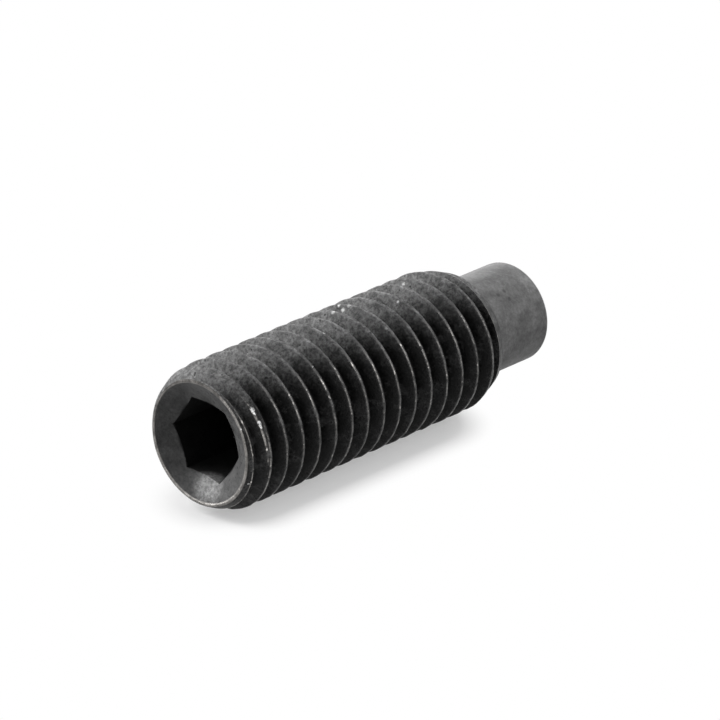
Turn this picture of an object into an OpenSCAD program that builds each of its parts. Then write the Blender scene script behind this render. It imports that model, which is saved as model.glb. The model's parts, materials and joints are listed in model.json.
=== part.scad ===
// Hexagon socket set screw with a long flat point, metric coarse thread.
// It stands on its point: Z runs up the axis, from the flat of the point to the
// socket rim, and the origin is the centre of that flat. Millimetres.

/* [Thread] */
// Nominal thread diameter
thread_d = 10; // [9:0.5:12]
// Distance from one crest to the next
thread_pitch = 1.5; // [1.25:0.05:1.75]
// How far the finished crests lie under the nominal diameter
crest_allowance = 0.2; // [0.05:0.05:0.35]
// Included angle between the two flanks of a groove
flank_angle = 60; // [50:5:60]
// Direction in which a crest would reach the level of the point's flat
thread_turn = -102; // [-180:1:180]

/* [Body] */
// Whole length, from the flat of the point to the rim of the socket
screw_len = 29.75; // [25:0.25:35]
// Slope of the chamfer at the socket end, measured from the axis
rim_chamfer_angle = 25; // [15:1:50]
// How far the narrow rim lies inside the crests, on the radius
rim_inset = 0.8; // [0.4:0.05:1]
// Slope of the chamfer above the shoulder, measured from the axis
shoulder_chamfer_angle = 21; // [15:1:50]
// How far the shoulder's edge lies inside the crests, on the radius
shoulder_inset = 0.65; // [0.3:0.05:0.9]

/* [Point] */
// Diameter of the point
point_d = 6.8; // [5:0.1:7.4]
// Length of the point, from its flat to the shoulder
point_len = 5.65; // [3:0.05:8]
// Rounding round the flat of the point
point_edge_r = 0.35; // [0.1:0.05:0.8]
// Rounding in the corner between the point and the shoulder
point_root_r = 0.25; // [0.1:0.05:0.4]

/* [Socket] */
// Size of the hexagon key, across its flats
key_size = 5; // [4:0.5:5]
// Play between the key and the socket, across the flats
key_play = 0.05; // [0.02:0.01:0.1]
// Depth of the hexagon's flats below the rim
socket_depth = 6.2; // [4:0.1:9]
// Included angle of the countersink at the socket's mouth
mouth_angle = 125; // [80:5:130]
// Included angle of the drilled bottom
drill_angle = 120; // [90:5:140]
// Rounding of the narrow rim between the chamfer and the countersink
rim_r = 0.2; // [0.05:0.05:0.3]

/* [Hidden] */
steel = [0.20, 0.20, 0.20];

// Steps round one turn of the thread, and along a rounded edge
turn_steps = 48;
arc_steps = 6;
$fn = 96;

// Metric thread form: height of the sharp triangle, then the flats and the root
sharp_h = thread_pitch / (2 * tan(flank_angle / 2));
root_depth = 17 / 24 * sharp_h;
crest_r = (thread_d - crest_allowance) / 2;
root_r = thread_d / 2 - root_depth;
crest_w = thread_pitch / 8 + crest_allowance * tan(flank_angle / 2);
root_w = thread_pitch / 6;

// Radii of the shoulder's edge, the middle of the rim and the point
shoulder_r = crest_r - shoulder_inset;
rim_mid_r = crest_r - rim_inset;
point_r = point_d / 2;

// The bar that the screw is turned from stands a little proud of the crests
bar_r = crest_r + thread_pitch / 5;

// Hexagon across its flats and across its corners
socket_af = key_size + key_play;
socket_corner_d = socket_af / cos(30);

// Slopes of both chamfers and of the mouth's wall, as rise for each step in
rim_rise = 1 / tan(rim_chamfer_angle);
shoulder_rise = 1 / tan(shoulder_chamfer_angle);
mouth_rise = 1 / tan(mouth_angle / 2);

// Spare length by which a cutter or the threaded bar passes an end
overrun = 2 * thread_pitch;

// One pitch of the thread in the half plane of the axis, as [radius, height]
// with the middle of the crest at height 0
thread_form = [
    [root_r, -(thread_pitch - root_w) / 2],
    [crest_r, -crest_w / 2],
    [crest_r, crest_w / 2],
    [root_r, (thread_pitch - root_w) / 2]
];
form_n = len(thread_form);

// Whole pitches that the threaded bar is long, and the rows of points up one side
bar_turns = ceil((screw_len + 2 * overrun) / thread_pitch);
rows = form_n * bar_turns;

// Height of the crest in column 0 of the first pitch, under the point's flat
first_crest = -overrun - thread_pitch * thread_turn / 360
    + thread_pitch * floor(thread_turn / 360);

// Points on an arc in the half plane of the axis, from one angle to another
function arc(centre, r, from, to) = [
    for (i = [0:arc_steps])
        let (a = from + (to - from) * i / arc_steps)
        centre + r * [cos(a), sin(a)]
];

// One point of the threaded bar: its column round the axis and its row up it
function bar_point(column, row) =
    let (
        p = thread_form[row % form_n],
        pitches = floor(row / form_n) + column / turn_steps,
        a = 360 * column / turn_steps
    )
    [p.x * cos(a), p.x * sin(a), first_crest + p.y + thread_pitch * pitches];

// Where that point stands in the list. The column after the last is the first
// one again, a whole pitch higher.
function at(column, row) =
    column < turn_steps
        ? column * rows + row
        : row + form_n;

// Two triangles between neighbouring columns and rows
function patch(column, row) = [
    [at(column, row), at(column, row + 1), at(column + 1, row + 1)],
    [at(column, row), at(column + 1, row + 1), at(column + 1, row)]
];

// Rows that a column shares with the next: the last column has a pitch less
function shared_rows(column) =
    column < turn_steps - 1 ? rows - 1 : rows - 1 - form_n;

// A fan of triangles from a middle point to each edge of a closed loop
function fan(middle, loop) = [
    for (i = [0:len(loop) - 1])
        [middle, loop[i], loop[(i + 1) % len(loop)]]
];

// A bar with one right-hand thread, longer than the screw at both ends
module threaded_bar() {
    side = [
        for (column = [0:turn_steps - 1])
            for (row = [0:shared_rows(column) - 1])
                each patch(column, row)
    ];
    points = [
        for (column = [0:turn_steps - 1])
            for (row = [0:rows - 1])
                bar_point(column, row)
    ];
    foot = len(points);
    head = foot + 1;
    foot_loop = [
        for (column = [0:turn_steps - 1]) at(column, 0),
        for (row = [form_n:-1:1]) at(0, row)
    ];
    head_loop = [
        for (row = [rows - 1 - form_n:rows - 2]) at(turn_steps - 1, row),
        for (column = [turn_steps - 1:-1:0]) at(column, rows - 1)
    ];
    ends = [[0, 0, points[0].z], [0, 0, points[rows - 1].z]];
    polyhedron(
        points = concat(points, ends),
        faces = concat(side, fan(foot, foot_loop), fan(head, head_loop)),
        convexity = 10
    );
}

// The turned shape: point, shoulder, chamfers, narrow rim and countersunk mouth
module turned_blank() {
    // The rim is a small round between two slopes, and its top is the screw's end
    rim_centre = [rim_mid_r, screw_len - rim_r];
    outer_a = rim_chamfer_angle;
    inner_a = 180 - mouth_angle / 2;
    outer_p = rim_centre + rim_r * [cos(outer_a), sin(outer_a)];
    inner_p = rim_centre + rim_r * [cos(inner_a), sin(inner_a)];
    rotate_extrude()
        polygon(concat(
            [[0, 0]],
            arc([point_r - point_edge_r, point_edge_r], point_edge_r, -90, 0),
            arc([point_r + point_root_r, point_len - point_root_r], point_root_r, 180, 90),
            [
                [shoulder_r, point_len],
                [bar_r, point_len + (bar_r - shoulder_r) * shoulder_rise],
                [bar_r, outer_p.y - (bar_r - outer_p.x) * rim_rise]
            ],
            arc(rim_centre, rim_r, outer_a, inner_a),
            [[0, inner_p.y - inner_p.x * mouth_rise]]
        ));
}

// What the broach and the drill take out: six flats and a coned bottom
module key_socket() {
    cone_r = socket_af / 2;
    cone_h = cone_r / tan(drill_angle / 2);
    translate([0, 0, screw_len - socket_depth])
        rotate([0, 0, 30])
            cylinder(h = socket_depth + overrun, d = socket_corner_d, $fn = 6);
    translate([0, 0, screw_len - socket_depth - cone_h])
        cylinder(h = cone_h, r1 = 0, r2 = cone_r);
}

module set_screw() {
    color(steel)
        difference() {
            intersection() {
                turned_blank();
                threaded_bar();
            }
            key_socket();
        }
}

set_screw();
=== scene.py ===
"""Hexagon socket set screw with a long flat point, in black steel.

The screw is threaded, turned and broached here as the solid is, with a rounded thread
and finer edges, and stands in the solid's place.
"""

import json
import math

import bpy
from mathutils import Matrix, Vector


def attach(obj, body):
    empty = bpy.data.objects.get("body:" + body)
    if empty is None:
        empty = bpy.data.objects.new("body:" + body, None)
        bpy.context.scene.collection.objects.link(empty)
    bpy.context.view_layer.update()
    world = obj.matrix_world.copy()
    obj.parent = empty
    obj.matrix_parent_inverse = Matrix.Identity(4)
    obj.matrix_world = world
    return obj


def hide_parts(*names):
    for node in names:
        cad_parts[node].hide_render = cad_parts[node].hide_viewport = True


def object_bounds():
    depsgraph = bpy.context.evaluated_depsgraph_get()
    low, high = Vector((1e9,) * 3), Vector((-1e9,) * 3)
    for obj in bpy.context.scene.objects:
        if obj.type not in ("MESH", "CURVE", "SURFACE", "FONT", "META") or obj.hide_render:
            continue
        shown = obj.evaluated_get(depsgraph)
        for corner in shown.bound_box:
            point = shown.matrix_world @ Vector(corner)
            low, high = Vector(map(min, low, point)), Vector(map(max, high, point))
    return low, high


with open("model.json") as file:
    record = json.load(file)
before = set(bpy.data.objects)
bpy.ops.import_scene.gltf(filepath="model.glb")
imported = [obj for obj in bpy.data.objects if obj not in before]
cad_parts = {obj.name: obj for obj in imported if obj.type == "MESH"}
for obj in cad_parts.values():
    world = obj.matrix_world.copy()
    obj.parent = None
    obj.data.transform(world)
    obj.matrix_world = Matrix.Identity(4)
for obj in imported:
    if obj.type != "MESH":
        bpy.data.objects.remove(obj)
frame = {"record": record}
cad_low, cad_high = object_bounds()

MM = 0.001

# Sizes that the frame gives: radius over the crests, length, and radius of the point
CREST_R = cad_high.x
LENGTH = cad_high.z
MOUNTS = {mount["name"]: mount for mount in frame["record"]["mounts"]}
POINT_R = MOUNTS["point"]["dims"]["r_mm"] * MM

# Thread, and the steps of its rounded corners and of one turn
PITCH = 1.5 * MM
NOMINAL_R = 5 * MM
HALF_FLANK = math.radians(30)
THREAD_TURN = math.radians(-102)
CREST_ROUND = 0.17 * MM
ROOT_ROUND = 0.14 * MM
THREAD_ROUND_STEPS = 4
TURN_STEPS = 128

# Turned form, and the steps of its rounded edges, of the corner at the shoulder and of one turn
RIM_CHAMFER = math.radians(25)
RIM_INSET = 0.8 * MM
RIM_ROUND = 0.2 * MM
SHOULDER_CHAMFER = math.radians(21)
SHOULDER_INSET = 0.65 * MM
SHOULDER_Z = 5.65 * MM
POINT_EDGE_ROUND = 0.35 * MM
POINT_ROOT_ROUND = 0.25 * MM
EDGE_STEPS = 8
CORNER_STEPS = 6
BLANK_STEPS = 192

# Socket
KEY_WIDTH = 5.05 * MM
SOCKET_DEPTH = 6.2 * MM
MOUTH_HALF = math.radians(62.5)
DRILL_HALF = math.radians(60)
DRILL_STEPS = 48

# The metric thread form, and how far bar and cutters stand past the screw
SHARP_H = PITCH / (2 * math.tan(HALF_FLANK))
ROOT_R = NOMINAL_R - 17 / 24 * SHARP_H
CREST_W = PITCH / 8 + 2 * (NOMINAL_R - CREST_R) * math.tan(HALF_FLANK)
ROOT_W = PITCH / 6
OVERRUN = 2 * PITCH
BLANK_R = CREST_R + PITCH / 5

# The floor of the photograph lies along the screw. UP is its normal, ALONG runs from the point
# to the socket, and TOWARDS is level and at right angles to both, at the camera's side.
FLOOR_TURN = math.radians(35.9)
UP = Vector((math.sin(FLOOR_TURN), -math.cos(FLOOR_TURN), 0))
ALONG = Vector((0, 0, 1))
TOWARDS = UP.cross(ALONG)

# Points closer than the gap are merged, and edges flatter than the angle are shaded smooth
MERGE_GAP = 0.004 * MM
SMOOTH_ANGLE = math.radians(32)

# Wear of the crests: how far below them it starts, the size of its patches and of the smaller
# ones in them, the level at which nothing is lost, and the height from the lowest to the highest
WORN_DEPTH = 0.1 * MM
WORN_PATCH = 0.6 * MM
WORN_DETAIL = 2
WORN_LEVEL = 0.8
WORN_RANGE = 0.08 * MM

# Nicks, each with a painted glint as a bright fleck, as a place and a reach in millimetres, and
# the size of a nick as a share of its glint's reach
NICKS_WITH_GLINTS = [
    (3.25, -3.66, 16.86, 0.19), (3.8, -3.05, 15.43, 0.17), (3.31, -3.19, 15.57, 0.2),
    (3.28, -3.64, 15.3, 0.17), (3.45, -3.02, 9.58, 0.17), (1.85, -4.39, 12.38, 0.13),
    (0.3, -4.88, 15.21, 0.14), (1.09, 2.29, 24.56, 0.09), (0.51, 2.62, 24.58, 0.11),
    (-1.75, -3.82, 29.72, 0.1), (-4.22, -1.02, 29.5, 0.1), (-0.25, -4.89, 22.44, 0.12),
    (1.76, -4.57, 19.56, 0.1), (-0.02, -4.9, 7.51, 0.1),
]
NICK_SHARE = 0.3

# Painted glints of scrapes on the crest next to the rim, each of spots side by side round the axis
SCRAPE_GLINTS = [(-1.25, -4.57, 28.66, 0.14), (-2.17, -4.23, 28.61, 0.13)]
SCRAPE_GLINT_TURNS = (-math.radians(2), 0, math.radians(2))

# Other marks, each as a place and a reach in millimetres: dark scars on the side of the point,
# a patch of painted light in the mouth and a painted highlight on the edge of the point. Every
# mark is full in its core, which is a share of its reach.
SCARS = [(0.08, -3.4, 2.94, 0.2), (-0.01, -3.4, 3.63, 0.2), (-0.56, -3.35, 3.0, 0.2)]
MOUTH_PAINTED_LIGHT = (-2.1, 2.3, 29.3, 1.5)
POINT_HIGHLIGHT = (-0.3, -3.4, 0.6, 1.3)
MARK_CORE = 0.35

# Noises on the steel: features for each millimetre, detail, roughness, and the two levels
# between which each is stretched to run from 0 to 1
GRAIN = (4.2, 3, 0.7, 0.32, 0.68)
CLOUD = (0.9, 4, 0.6, 0.25, 0.75)
UNEVEN = (1.6, 4, 0.7, 0.36, 0.62)
GLINTS = (3.5, 2, 0.6, 0.58, 0.68)

# Where a mask of the steel rises from 0, the first value, to 1, the second, in millimetres. The
# names say from where both are measured, and a depth lies under the turned outside.
INSIDE_FROM_ROOT = (0, -0.08)
INSIDE_FROM_SHOULDER = (0.5, 1)
MOUTH_FROM_TOP = (-0.8, -0.7)
POINT_FROM_SHOULDER = (0, -0.15)
OUTSIDE_DEPTH = (0.5, 0.1)
FULL_FROM_CREST_R = (-0.06, 0)
LINE_FROM_MIDDLE = (0.08, 0.03)
LINE_DEPTH = (0.12, 0.08)
CUT_FROM_FLANK = (0.12, 0.04)
CUT_DEPTH = (0.03, 0.006)
BRIGHTER_FROM_TOP = (-3, -1)
LIP_FROM_TOP = (-0.06, -0.02)

# The thread's painted sheen: the side a little behind the uppermost one is painted greyer, where
# the light grazes it. The paint rises between two levels, the outside, the grain and the clouds
# shift its edge, and thin pale clouds of the same tone lie at random elsewhere.
SHEEN_TURN = math.radians(20)
SHEEN_SIDE = UP * math.cos(SHEEN_TURN) - TOWARDS * math.sin(SHEEN_TURN)
SHEEN_LEVELS = (0.3, 1)
SHEEN_SHIFTS = {"outside": 0.12, "grain": 0.12, "cloud": 0.16}
THIN_PALE_CLOUDS = 0.35
THIN_PALE_CLOUD_LEVELS = (0.55, 0.9)

# Dark pits: how many for each millimetre, their edge, the clouds that hold them, how far the
# mouth is free of them, how deep a scar is beside one, and how much one darkens the steel
PIT_SCALE = 2.2
PIT_EDGE = (0.24, 0.12)
PIT_CLOUDS = (0.5, 0.7)
PIT_FREE_MOUTH = 0.8
SCAR_DEPTH = 0.7
PIT_SHADE = 0.65

# Bare metal on worn edges, painted brighter as highlights: the least of it, how the painted sheen
# dulls it and painted glints break it up, how much more of it the lip of the mouth has, and how
# ragged the painted glints of the nicks are, in millimetres
WEAR_LEAST = 0.15
WEAR_DULLED = 1.4
WEAR_GLINTS = 1.6
LIP_WEAR_AND_HIGHLIGHT = 0.9
GLINT_RAGGED = 0.1

# Tones of the steel, each laid over those before it, and the tint of bare metal. The tones of the
# painted sheen, the mouth's painted light, the point's painted highlight and the glints are painted
# light.
TONES = {
    "groove": 0.012,
    "outside": 0.044,
    "sheen_and_clouds": 0.18,
    "point": 0.165,
    "point highlight": 0.3,
    "mouth": 0.078,
    "mouth painted light": 0.38,
    "worn": 0.13,
    "painted glint": 0.85,
}
WORN_TINT = (1, 0.96, 0.92)

# How far grain and clouds vary the tone, the mouth's painted light and the point's highlight
MOTTLE = {"grain": 0.4, "thread grain": 0.45, "cloud": 0.7, "least": 0.65}
MOUTH_LIGHT_MOTTLE = {"grain": 0.4, "least": 0.7}
POINT_HIGHLIGHT_CLOUD = 0.6

# How rough the steel is, how metallic where it is bare, and how much its coating shines
ROUGH = {"plain": 0.36, "grain": 0.2, "point": 0.15, "hole": 0.5, "sheen_and_clouds": 0.6}
WORN_METAL = 0.9
GLOSS = 0.09

# What makes up its fine relief, and how high and strong that is
RELIEF = {"grain": 0.3, "outside grain": 0.7, "cloud": 0.4, "pits": 0.6}
RELIEF_HEIGHT = 0.025 * MM
RELIEF_STRENGTH = 0.8

# The floor's width and its tones, seen and in the light it throws back. Round the screw it keeps
# a share of plain white, and further out it fades to plain white altogether.
FLOOR_SIZE = 3000 * MM
FLOOR_TONE = 0.95
BOUNCE_TONE = 0.3
FLOOR_LIFT = 0.38
SHADOW_MIDDLE = 18.5 * MM
SHADOW_HALF = 8 * MM
FADE_START = 1.9 * MM
FADE_END = 6 * MM

# Lamps as elevation over the floor, azimuth round it and strength, of which 1 renders white
LAMPS = {
    "back_high": (34, 160, 0.88),
    "back_low": (10, 165, 0.6),
    "back_far": (10, 216, 0.2),
    "back_mid": (32, 220, 0.1),
    "point_side": (32, 300, 0.48),
    "point_back": (32, 260, 0.16),
    "point_front": (20, 325, 0.2),
    "socket_low": (12, 112, 0.17),
    "underneath": (-50, 200, 0.15),
}
LAMP_WIDTH = math.radians(40)

# The camera of the photograph: its turns about the place that it looks at and its distance from
# there, the lens and the width of the sensor as camera makers give them, and what it can see
CAMERA_AZIMUTH = math.radians(-22)
CAMERA_ELEVATION = math.radians(42.564)
CAMERA_ROLL = math.radians(112.989)
CAMERA_AIM = Vector((0.681, -0.637, 14.635)) * MM
CAMERA_DISTANCE = 342.13 * MM
CAMERA_LENS = 264.39
SENSOR_WIDTH = 36
NEAREST_SEEN = 10 * MM
FURTHEST_SEEN = 10000 * MM


def deselect():
    """Leaves object mode with nothing selected."""
    if bpy.context.object and bpy.context.object.mode != "OBJECT":
        bpy.ops.object.mode_set(mode="OBJECT")
    bpy.ops.object.select_all(action="DESELECT")


def use(piece):
    """Selects one piece alone and makes it the active one."""
    deselect()
    piece.select_set(True)
    bpy.context.view_layer.objects.active = piece


def arc(centre, radius, start, end, steps):
    """Points on an arc in the half plane of the axis, as (radius, height)."""
    angles = [start + (end - start) * i / steps for i in range(steps + 1)]
    return [(centre[0] + radius * math.cos(a), centre[1] + radius * math.sin(a)) for a in angles]


def outline(name, points):
    """An open chain of edges in the XZ plane, drawn by extruding one vertex from point to point."""
    deselect()
    bpy.ops.mesh.primitive_plane_add(size=MM, location=(0, 0, 0))
    piece = bpy.context.object
    piece.name = piece.data.name = name
    bpy.ops.object.mode_set(mode="EDIT")
    bpy.ops.mesh.select_all(action="SELECT")
    bpy.ops.mesh.merge(type="CENTER")
    bpy.ops.transform.translate(value=(points[0][0], 0, points[0][1]))
    for (r0, z0), (r1, z1) in zip(points, points[1:]):
        bpy.ops.mesh.extrude_vertices_move(
            TRANSFORM_OT_translate={"value": (r1 - r0, 0, z1 - z0)})
    bpy.ops.object.mode_set(mode="OBJECT")
    return piece


def clean(piece):
    """Merges doubles and turns every face outwards."""
    use(piece)
    bpy.ops.object.mode_set(mode="EDIT")
    bpy.ops.mesh.select_all(action="SELECT")
    bpy.ops.mesh.remove_doubles(threshold=MERGE_GAP)
    bpy.ops.mesh.normals_make_consistent(inside=False)
    bpy.ops.object.mode_set(mode="OBJECT")


def apply_modifiers(piece):
    """Applies each modifier of the piece in turn."""
    use(piece)
    for modifier in list(piece.modifiers):
        bpy.ops.object.modifier_apply(modifier=modifier.name)


def combine(piece, tool, operation):
    """Joins the piece with a tool, cuts it or keeps what both hold, and drops the tool."""
    modifier = piece.modifiers.new(operation.lower(), "BOOLEAN")
    modifier.operation = operation
    modifier.solver = "EXACT"
    modifier.object = tool
    apply_modifiers(piece)
    bpy.data.objects.remove(tool)


def rounded(points, radii, steps):
    """The polyline with each inner corner rounded by its radius, and the ends as they were."""
    path = [points[0]]
    for before, corner, after, radius in zip(points, points[1:], points[2:], radii):
        corner = Vector(corner)
        back = (Vector(before) - corner).normalized()
        ahead = (Vector(after) - corner).normalized()
        half = back.angle(ahead) / 2
        reach = radius / math.tan(half)
        centre = corner + (back + ahead).normalized() * radius / math.sin(half)
        first = corner + back * reach - centre
        turn = first.angle_signed(corner + ahead * reach - centre)
        for i in range(steps + 1):
            spoke = first.copy()
            spoke.rotate(Matrix.Rotation(-turn * i / steps, 2))
            path.append(tuple(centre + spoke))
    path.append(points[-1])
    return path


def threaded_bar():
    """A bar with one right-hand thread, longer than the screw at both ends."""
    half = (PITCH - ROOT_W) / 2
    form = [
        (ROOT_R, -PITCH / 2), (ROOT_R, -half), (CREST_R, -CREST_W / 2),
        (CREST_R, CREST_W / 2), (ROOT_R, half), (ROOT_R, PITCH / 2),
    ]
    radii = (ROOT_ROUND, CREST_ROUND, CREST_ROUND, ROOT_ROUND)
    path = rounded(form, radii, THREAD_ROUND_STEPS)
    lift = -OVERRUN - PITCH * ((THREAD_TURN / math.tau) % 1)
    bar = outline("bar", [(r, z + lift) for r, z in path])
    wind = bar.modifiers.new("thread", "SCREW")
    wind.axis = "Z"
    wind.angle = math.tau
    wind.screw_offset = PITCH
    wind.iterations = math.ceil((LENGTH + 2 * OVERRUN) / PITCH)
    wind.steps = wind.render_steps = TURN_STEPS
    wind.use_smooth_shade = False
    apply_modifiers(bar)
    clean(bar)
    bpy.ops.object.mode_set(mode="EDIT")
    bpy.ops.mesh.select_all(action="DESELECT")
    bpy.ops.mesh.select_mode(type="EDGE")
    bpy.ops.mesh.select_non_manifold()
    bpy.ops.mesh.fill_holes(sides=0)
    bpy.ops.object.mode_set(mode="OBJECT")
    clean(bar)
    return bar


def turned_blank():
    """Point, shoulder, chamfers, rounded rim and countersunk mouth, spun round the axis."""
    rim_centre = (CREST_R - RIM_INSET, LENGTH - RIM_ROUND)
    rim = arc(rim_centre, RIM_ROUND, RIM_CHAMFER, math.pi - MOUTH_HALF, EDGE_STEPS)
    shoulder_r = CREST_R - SHOULDER_INSET
    edge_centre = (POINT_R - POINT_EDGE_ROUND, POINT_EDGE_ROUND)
    corner_centre = (POINT_R + POINT_ROOT_ROUND, SHOULDER_Z - POINT_ROOT_ROUND)
    path = [(0, 0)]
    path += arc(edge_centre, POINT_EDGE_ROUND, -math.pi / 2, 0, EDGE_STEPS)
    path += arc(corner_centre, POINT_ROOT_ROUND, math.pi, math.pi / 2, CORNER_STEPS)
    path += [
        (shoulder_r, SHOULDER_Z),
        (BLANK_R, SHOULDER_Z + (BLANK_R - shoulder_r) / math.tan(SHOULDER_CHAMFER)),
        (BLANK_R, rim[0][1] - (BLANK_R - rim[0][0]) / math.tan(RIM_CHAMFER)),
    ]
    path += rim
    path += [(0, rim[-1][1] - rim[-1][0] / math.tan(MOUTH_HALF))]
    blank = outline("set_screw_steel", path)
    bpy.ops.object.mode_set(mode="EDIT")
    bpy.ops.mesh.select_all(action="SELECT")
    bpy.ops.mesh.spin(steps=BLANK_STEPS, angle=math.tau, center=(0, 0, 0), axis=(0, 0, 1))
    bpy.ops.object.mode_set(mode="OBJECT")
    clean(blank)
    return blank


def key_socket():
    """The broached hexagon with its coned bottom, as one cutter."""
    floor_z = LENGTH - SOCKET_DEPTH
    hexagon_h = SOCKET_DEPTH + OVERRUN
    cone_h = KEY_WIDTH / 2 / math.tan(DRILL_HALF)
    deselect()
    bpy.ops.mesh.primitive_cylinder_add(
        vertices=6, radius=KEY_WIDTH / math.sqrt(3), depth=hexagon_h,
        location=(0, 0, floor_z + hexagon_h / 2))
    hexagon = bpy.context.object
    bpy.ops.object.transform_apply(location=True, rotation=True, scale=True)
    deselect()
    bpy.ops.mesh.primitive_cone_add(
        vertices=DRILL_STEPS, radius1=0, radius2=KEY_WIDTH / 2, depth=cone_h,
        location=(0, 0, floor_z - cone_h / 2), rotation=(0, 0, math.pi / DRILL_STEPS))
    drill = bpy.context.object
    bpy.ops.object.transform_apply(location=True, rotation=True, scale=True)
    combine(hexagon, drill, "UNION")
    return hexagon


def nicks():
    """Small dents where crests and edges were knocked, as one cutter of separate lumps."""
    deselect()
    lumps = []
    for across, along, up, reach in NICKS_WITH_GLINTS:
        # Turned by its own place, so that no two dents look alike
        bpy.ops.mesh.primitive_ico_sphere_add(
            subdivisions=1, radius=reach * NICK_SHARE * MM,
            location=(across * MM, along * MM, up * MM),
            rotation=(across, along, up))
        lumps.append(bpy.context.object)
    deselect()
    for lump in lumps:
        lump.select_set(True)
    bpy.context.view_layer.objects.active = lumps[0]
    bpy.ops.object.join()
    bpy.ops.object.transform_apply(location=True, rotation=True, scale=True)
    return lumps[0]


def wear_crests(screw):
    """Wears the full crests down unevenly, by a few hundredths of a millimetre."""
    crests = screw.vertex_groups.new(name="crests")
    high = [v.index for v in screw.data.vertices if v.co.xy.length > CREST_R - WORN_DEPTH]
    crests.add(high, 1, "REPLACE")
    clouds = bpy.data.textures.new("clouds", "CLOUDS")
    clouds.noise_scale = WORN_PATCH
    clouds.noise_depth = WORN_DETAIL
    wear = screw.modifiers.new("wear", "DISPLACE")
    wear.texture = clouds
    wear.vertex_group = crests.name
    wear.mid_level = WORN_LEVEL
    wear.strength = WORN_RANGE
    apply_modifiers(screw)
    screw.vertex_groups.clear()


def set_screw():
    """The whole screw: blank and threaded bar together, less the socket and the nicks."""
    screw = turned_blank()
    combine(screw, threaded_bar(), "INTERSECT")
    combine(screw, key_socket(), "DIFFERENCE")
    combine(screw, nicks(), "DIFFERENCE")
    clean(screw)
    wear_crests(screw)
    use(screw)
    bpy.ops.object.shade_smooth_by_angle(angle=SMOOTH_ANGLE)
    return screw


class Wire:
    """An output socket. Plain arithmetic on it adds Math nodes to the same tree."""

    def __init__(self, socket):
        self.socket = socket

    @staticmethod
    def node(tree, kind, settings, sockets, output=0):
        """Adds any other node: first its settings, then its sockets, as values or wires."""
        node = tree.nodes.new(kind)
        for name, value in settings.items():
            setattr(node, name, value)
        for key, value in sockets.items():
            if isinstance(value, Wire):
                tree.links.new(value.socket, node.inputs[key])
            else:
                node.inputs[key].default_value = value
        return Wire(node.outputs[output]) if node.outputs else None

    def sibling(self, output):
        """Another output of the node that this one comes from."""
        return Wire(self.socket.node.outputs[output])

    def math_node(self, operation, *values):
        """Adds one Math node that works out this operation on the values."""
        tree = self.socket.id_data
        return Wire.node(tree, "ShaderNodeMath", {"operation": operation}, dict(enumerate(values)))

    def step(self, low, high):
        """Rises smoothly from 0 at low to 1 at high. With high below low it falls instead."""
        if high < low:
            return 1 - self.step(high, low)
        return Wire.node(
            self.socket.id_data, "ShaderNodeMapRange", {"interpolation_type": "SMOOTHSTEP"},
            {"Value": self, "From Min": low, "From Max": high})

    def fraction(self):
        """What the value has over the whole number below it."""
        return self.math_node("FRACT", self)

    def size(self):
        """The value with its minus sign left off."""
        return self.math_node("ABSOLUTE", self)

    def least(self, other):
        """The lower of this and another value."""
        return self.math_node("MINIMUM", self, other)

    def most(self, other):
        """The higher of this and another value."""
        return self.math_node("MAXIMUM", self, other)

    def __add__(self, other):
        return self.math_node("ADD", self, other)

    def __radd__(self, other):
        return self.math_node("ADD", other, self)

    def __sub__(self, other):
        return self.math_node("SUBTRACT", self, other)

    def __rsub__(self, other):
        return self.math_node("SUBTRACT", other, self)

    def __mul__(self, other):
        return self.math_node("MULTIPLY", self, other)

    def __rmul__(self, other):
        return self.math_node("MULTIPLY", other, self)

    def __truediv__(self, other):
        return self.math_node("DIVIDE", self, other)

    def __pow__(self, other):
        return self.math_node("POWER", self, other)


def grey(value, tint=(1, 1, 1)):
    """A colour of one brightness, with a slight tint."""
    return tuple(value * part for part in tint) + (1,)


def blend(tree, factor, first, second):
    """Mixes two colours."""
    return Wire.node(
        tree, "ShaderNodeMix", {"data_type": "RGBA"}, {0: factor, 6: first, 7: second}, output=2)


def scaled(tree, vector, factor):
    """A vector or colour times one number."""
    return Wire.node(
        tree, "ShaderNodeVectorMath", {"operation": "SCALE"}, {0: vector, "Scale": factor})


def along_way(tree, place, way):
    """How far a place lies along a way, which is a vector of length 1."""
    return Wire.node(
        tree, "ShaderNodeVectorMath", {"operation": "DOT_PRODUCT"}, {0: place, 1: way}, output=1)


def noise(tree, place, scale, detail, rough, low, high):
    """Cloudy noise, stretched to run from 0 at its level low to 1 at its level high."""
    cloudy = Wire.node(
        tree, "ShaderNodeTexNoise", {},
        {"Vector": place, "Scale": scale, "Detail": detail, "Roughness": rough})
    return cloudy.step(low, high)


def within(tree, place, marks, ragged=0):
    """One in the core of any of these marks, falling to nothing at its reach."""
    strongest = 0
    for *centre, reach in marks:
        gap = Wire.node(
            tree, "ShaderNodeVectorMath", {"operation": "DISTANCE"}, {0: place, 1: centre},
            output=1)
        strongest = (gap + ragged).step(reach, reach * MARK_CORE).most(strongest)
    return strongest


def glint_spots():
    """The painted glints at the nicks and the spots of each scrape, as a place and a reach in
    millimetres.
    """
    spots = list(NICKS_WITH_GLINTS)
    for across, along, up, reach in SCRAPE_GLINTS:
        for turn in SCRAPE_GLINT_TURNS:
            spot = Matrix.Rotation(turn, 3, "Z") @ Vector((across, along, up))
            spots.append((*spot, reach))
    return spots


def shifted(levels, start):
    """Two levels that are measured from a start."""
    return [start + level for level in levels]


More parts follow.
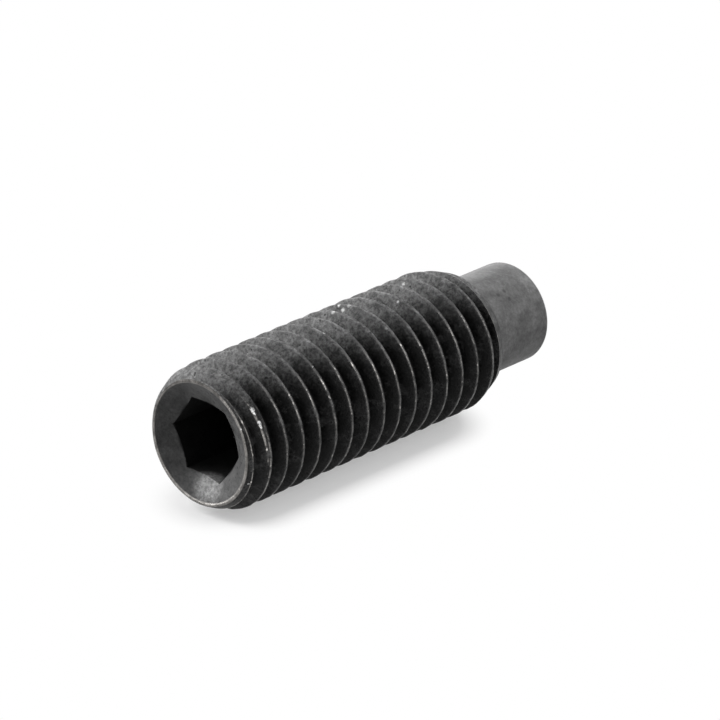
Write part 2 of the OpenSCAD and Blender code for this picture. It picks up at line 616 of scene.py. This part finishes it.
def crest_depth_and_lines(radius, z, turn):
    """The depth under the turned outside, in millimetres, and a mask of crest lines worn and
    painted bright.
    """
    full_r = CREST_R / MM
    rim_r = (CREST_R - RIM_INSET + RIM_ROUND * math.cos(RIM_CHAMFER)) / MM
    rim_z = (LENGTH - RIM_ROUND + RIM_ROUND * math.sin(RIM_CHAMFER)) / MM
    shoulder_r = full_r - SHOULDER_INSET / MM

    # How deep the place lies under the turned outside, chamfers included
    rim_cone = (rim_z - z) * math.tan(RIM_CHAMFER) + rim_r
    shoulder_cone = (z - SHOULDER_Z / MM) * math.tan(SHOULDER_CHAMFER) + shoulder_r
    turned = rim_cone.least(shoulder_cone).least(full_r)
    depth = turned - radius

    # How far it lies from the middle of the nearest crest, and from that crest's flank
    lap = z / (PITCH / MM) - turn + THREAD_TURN / math.tau + 0.5
    off_crest = (lap.fraction() - 0.5).size() * (PITCH / MM)
    to_flank = CREST_W / MM / 2 + (full_r - radius) * math.tan(HALF_FLANK) - off_crest

    # A full crest is worn and painted bright along its middle, one that a chamfer cuts at the cut
    full_crest = turned.step(*shifted(FULL_FROM_CREST_R, full_r))
    crest_mid = off_crest.step(*LINE_FROM_MIDDLE) * depth.step(*LINE_DEPTH) * full_crest
    cut_edge = depth.step(*CUT_DEPTH) * to_flank.step(*CUT_FROM_FLANK) * (1 - full_crest)
    return depth, crest_mid.most(cut_edge)


def black_steel():
    """Black oxide steel: near black in grooves, greyer and grainy outside, worn and painted bright
    on edges.
    """
    material = bpy.data.materials.new("black_steel")
    material.use_nodes = True
    tree = material.node_tree
    tree.nodes.clear()

    # Place on the screw in millimetres, then radius, height and turn round the axis
    here = Wire.node(tree, "ShaderNodeTexCoord", {}, {}, output="Object")
    place = scaled(tree, here, 1 / MM)
    x = Wire.node(tree, "ShaderNodeSeparateXYZ", {}, {0: place})
    y, z = x.sibling("Y"), x.sibling("Z")
    radius = (x * x + y * y) ** 0.5
    turn = y.math_node("ARCTAN2", y, x) / math.tau
    top_z = LENGTH / MM
    shoulder_z = SHOULDER_Z / MM

    # The surfaces that look different: the mouth, the socket, the point and the thread
    inside = radius.step(*shifted(INSIDE_FROM_ROOT, ROOT_R / MM))
    inside = inside * z.step(*shifted(INSIDE_FROM_SHOULDER, shoulder_z))
    mouth = inside * z.step(*shifted(MOUTH_FROM_TOP, top_z))
    hole = inside - mouth
    point = z.step(*shifted(POINT_FROM_SHOULDER, shoulder_z))
    thread = 1 - inside - point
    depth, crest_line = crest_depth_and_lines(radius, z, turn)
    outside = depth.step(*OUTSIDE_DEPTH) * thread

    # Grain, cloudy patches and pits
    grain = noise(tree, place, *GRAIN)
    cloud = noise(tree, place, *CLOUD)
    cells = Wire.node(tree, "ShaderNodeTexVoronoi", {}, {"Vector": place, "Scale": PIT_SCALE})
    pits = cells.step(*PIT_EDGE) * cloud.step(*PIT_CLOUDS)
    pits = pits * (1 - PIT_FREE_MOUTH * mouth) * (1 - point)
    pits = pits.most(within(tree, place, SCARS) * SCAR_DEPTH)

    # Painted sheen: the thread painted greyer along the side that lay uppermost, with a ragged
    # edge, and thin pale clouds of the same tone elsewhere
    sheen_and_clouds = along_way(tree, place, SHEEN_SIDE) / radius
    sheen_and_clouds = sheen_and_clouds + SHEEN_SHIFTS["outside"] * outside
    sheen_and_clouds = sheen_and_clouds + SHEEN_SHIFTS["grain"] * (grain - 0.5) + SHEEN_SHIFTS["cloud"] * (cloud - 0.5)
    thin_pale_clouds = THIN_PALE_CLOUDS * cloud.step(*THIN_PALE_CLOUD_LEVELS)
    sheen_and_clouds = sheen_and_clouds.step(*SHEEN_LEVELS).most(thin_pale_clouds) * thread

    # Painted light in the mouth and a painted highlight on the edge of the point
    mouth_painted_light = within(tree, place, [MOUTH_PAINTED_LIGHT])
    mouth_painted_light = mouth_painted_light * (MOUTH_LIGHT_MOTTLE["least"] + MOUTH_LIGHT_MOTTLE["grain"] * grain)
    point_highlight = within(tree, place, [POINT_HIGHLIGHT]) * cloud * POINT_HIGHLIGHT_CLOUD

    # Edges worn to bare metal and painted brighter as highlights, unevenly, more so towards the
    # socket, broken up by painted glints, and the painted glints of nicks and scrapes
    uneven = noise(tree, place, *UNEVEN) * (1 - WEAR_LEAST) + WEAR_LEAST
    uneven_with_glints = uneven + WEAR_GLINTS * noise(tree, place, *GLINTS)
    crest_line = crest_line * thread * (1 - WEAR_DULLED * sheen_and_clouds).most(0) * uneven_with_glints
    crest_line = crest_line * (1 + z.step(*shifted(BRIGHTER_FROM_TOP, top_z)))
    lip = z.step(*shifted(LIP_FROM_TOP, top_z)) * (uneven + LIP_WEAR_AND_HIGHLIGHT)
    wear = crest_line.most(lip)
    glint_flecks = within(tree, place, glint_spots(), (grain - 0.5) * GLINT_RAGGED)

    # Colour
    tone = blend(tree, outside, grey(TONES["groove"]), grey(TONES["outside"]))
    # Painted sheen on the upper side, with thin pale clouds elsewhere
    tone = blend(tree, sheen_and_clouds, tone, grey(TONES["sheen_and_clouds"]))
    tone = blend(tree, point, tone, grey(TONES["point"]))
    # Painted highlight on the edge of the point
    tone = blend(tree, point_highlight, tone, grey(TONES["point highlight"]))
    tone = blend(tree, mouth, tone, grey(TONES["mouth"]))
    # Painted light in the mouth
    tone = blend(tree, mouth_painted_light, tone, grey(TONES["mouth painted light"]))
    mottle = (grain - 0.5) * (MOTTLE["thread grain"] * thread + MOTTLE["grain"]) + 1
    mottle = mottle * (cloud * MOTTLE["cloud"] + MOTTLE["least"]) * (1 - PIT_SHADE * pits)
    tone = scaled(tree, tone, mottle)
    tone = blend(tree, wear.least(1), tone, grey(TONES["worn"], WORN_TINT))
    # Painted highlight: worn edges and lip brightened past the tone of bare metal
    tone = scaled(tree, tone, wear.most(1))
    # Painted glints at the nicks and scrapes, near white
    tone = blend(tree, glint_flecks, tone, grey(TONES["painted glint"]))

    # Gloss and relief
    metal = wear.least(1) * WORN_METAL
    rough = ROUGH["plain"] + ROUGH["grain"] * (grain - 0.5) + ROUGH["point"] * point
    rough = rough + ROUGH["hole"] * hole + ROUGH["sheen_and_clouds"] * sheen_and_clouds
    height = grain * (RELIEF["outside grain"] * outside + RELIEF["grain"])
    height = height + RELIEF["cloud"] * cloud - RELIEF["pits"] * pits
    bump = Wire.node(
        tree, "ShaderNodeBump", {},
        {"Strength": RELIEF_STRENGTH, "Distance": RELIEF_HEIGHT, "Height": height})
    shader = Wire.node(
        tree, "ShaderNodeBsdfPrincipled", {},
        {"Base Color": tone, "Metallic": metal, "Roughness": rough, "Normal": bump,
         "Specular IOR Level": GLOSS})
    Wire.node(tree, "ShaderNodeOutputMaterial", {}, {"Surface": shader})
    return material


def camera():
    """The photograph's view: from above the socket, with the screw rolled on its side."""
    data = bpy.data.cameras.new("camera")
    cam = bpy.data.objects.new("camera", data)
    bpy.context.collection.objects.link(cam)
    away = Vector((
        math.sin(CAMERA_AZIMUTH) * math.cos(CAMERA_ELEVATION),
        -math.cos(CAMERA_AZIMUTH) * math.cos(CAMERA_ELEVATION),
        math.sin(CAMERA_ELEVATION)))
    cam.location = CAMERA_AIM + away * CAMERA_DISTANCE
    level = (-away).to_track_quat("-Z", "Y").to_matrix()
    cam.rotation_euler = (level @ Matrix.Rotation(-CAMERA_ROLL, 3, "Z")).to_euler()
    data.lens = CAMERA_LENS
    data.sensor_width = SENSOR_WIDTH
    data.clip_start = NEAREST_SEEN
    data.clip_end = FURTHEST_SEEN
    bpy.context.scene.camera = cam


def seen_rays(tree):
    """One for what the camera sees, directly or in gloss or glass, and nothing for other rays."""
    camera_ray = Wire.node(tree, "ShaderNodeLightPath", {}, {}, output="Is Camera Ray")
    glossy = camera_ray.sibling("Is Glossy Ray")
    return camera_ray.most(glossy).most(camera_ray.sibling("Is Transmission Ray"))


def pale_floor():
    """White paper that keeps the screw's shadow and fades to plain white further out.

    It is seen and lit from above only, so that the screw can be looked at from below.
    """
    material = bpy.data.materials.new("pale_floor")
    material.use_nodes = True
    tree = material.node_tree
    tree.nodes.clear()
    here = Wire.node(tree, "ShaderNodeTexCoord", {}, {}, output="Object")
    across = along_way(tree, here, TOWARDS)
    beyond = (along_way(tree, here, ALONG) - SHADOW_MIDDLE).size() - SHADOW_HALF
    beyond = beyond.most(0)
    away = (across * across + beyond * beyond) ** 0.5
    seen = seen_rays(tree)
    white = away.step(FADE_START, FADE_END).most(FLOOR_LIFT) * seen
    tone = blend(tree, seen, grey(BOUNCE_TONE), grey(FLOOR_TONE))
    matt = Wire.node(tree, "ShaderNodeBsdfDiffuse", {}, {"Color": tone})
    glow = Wire.node(tree, "ShaderNodeEmission", {}, {"Color": grey(1), "Strength": 1})
    paper = Wire.node(tree, "ShaderNodeMixShader", {}, {0: white, 1: matt, 2: glow})
    below = Wire.node(tree, "ShaderNodeNewGeometry", {}, {}, output="Backfacing")
    shadow_ray = Wire.node(tree, "ShaderNodeLightPath", {}, {}, output="Is Shadow Ray")
    clear = Wire.node(tree, "ShaderNodeBsdfTransparent", {}, {})
    sheet = Wire.node(
        tree, "ShaderNodeMixShader", {}, {0: below.most(shadow_ray), 1: paper, 2: clear})
    Wire.node(tree, "ShaderNodeOutputMaterial", {}, {"Surface": sheet})
    return material


def floor():
    """The floor that the screw's crests lie against in the photograph."""
    deselect()
    bpy.ops.mesh.primitive_plane_add(
        size=FLOOR_SIZE, location=-UP * CREST_R, rotation=UP.to_track_quat("Z", "Y").to_euler())
    sheet = bpy.context.object
    sheet.name = sheet.data.name = "floor"
    bpy.ops.object.transform_apply(location=True, rotation=True, scale=True)
    sheet.data.materials.append(pale_floor())


def lamp(name, elevation, azimuth, strength):
    """A broad soft lamp. Azimuth 0 is at the camera's side, 90 at the socket's end."""
    rise, swing = math.radians(elevation), math.radians(azimuth)
    level = TOWARDS * math.cos(swing) + ALONG * math.sin(swing)
    away = level * math.cos(rise) + UP * math.sin(rise)
    data = bpy.data.lights.new(name, "SUN")
    data.energy = math.pi * strength
    data.angle = LAMP_WIDTH
    light = bpy.data.objects.new(name, data)
    bpy.context.collection.objects.link(light)
    light.rotation_euler = away.to_track_quat("Z", "Y").to_euler()


def white_world():
    """White to the camera and in gloss, and no light of its own."""
    world = bpy.data.worlds.new("world")
    bpy.context.scene.world = world
    world.use_nodes = True
    tree = world.node_tree
    tree.nodes.clear()
    sky = Wire.node(
        tree, "ShaderNodeBackground", {}, {"Color": grey(1), "Strength": seen_rays(tree)})
    Wire.node(tree, "ShaderNodeOutputWorld", {}, {"Surface": sky})


screw = set_screw()
screw.data.materials.clear()
screw.data.materials.append(black_steel())
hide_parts("set_screw")
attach(screw, "root")

camera()
floor()
white_world()
for name, (elevation, azimuth, strength) in LAMPS.items():
    lamp(name, elevation, azimuth, strength)
bpy.context.scene.view_settings.view_transform = "Standard"
